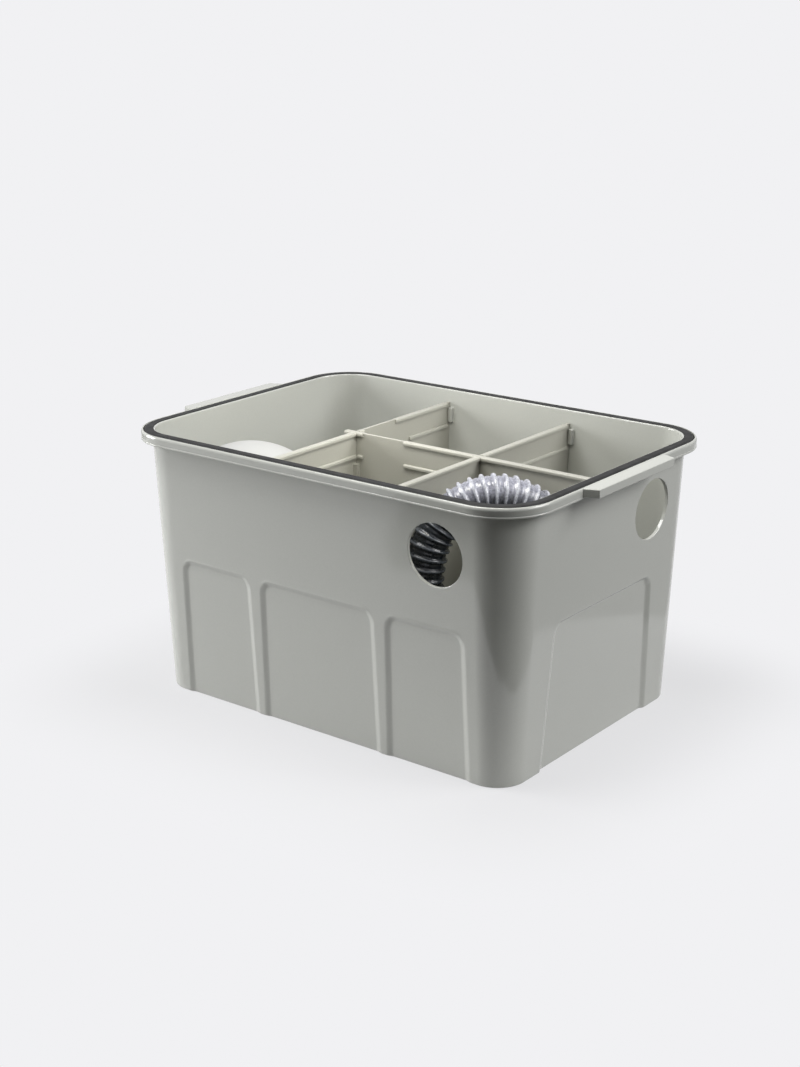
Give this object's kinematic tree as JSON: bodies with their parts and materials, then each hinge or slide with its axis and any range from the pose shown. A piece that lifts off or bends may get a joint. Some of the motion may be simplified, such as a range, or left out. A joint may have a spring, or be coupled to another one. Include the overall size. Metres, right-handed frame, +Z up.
{
  "type": "plaster trap",
  "caption": "Moulded settling tub with lift-out divider plates, a rim seal, pipe holes, a corrugated drain hose and a domed filter.",
  "frame": {"origin": "middle of the tub, on the surface it stands on", "axes": "+X along the length towards the wall with the outlet hole, -Y towards the wall with the inlet hole, +Z up"},
  "size_m": [0.435, 0.3, 0.2356],
  "materials": {
    "tub": "smooth grey moulded plastic",
    "seal": "black rubber profile",
    "divider": "smooth grey moulded plastic",
    "hose": "glossy black corrugated plastic",
    "cuff": "black rubber",
    "filter": "plain white plastic"
  },
  "bodies": {
    "root": {"tub": "tub", "rim_seal": "seal", "cross_divider_left": "divider", "cross_divider_right": "divider", "long_divider": "divider", "drain_hose": "hose", "hose_cuff_front": "cuff", "hose_cuff_back": "cuff", "filter": "filter"}
  },
  "joints": []
}
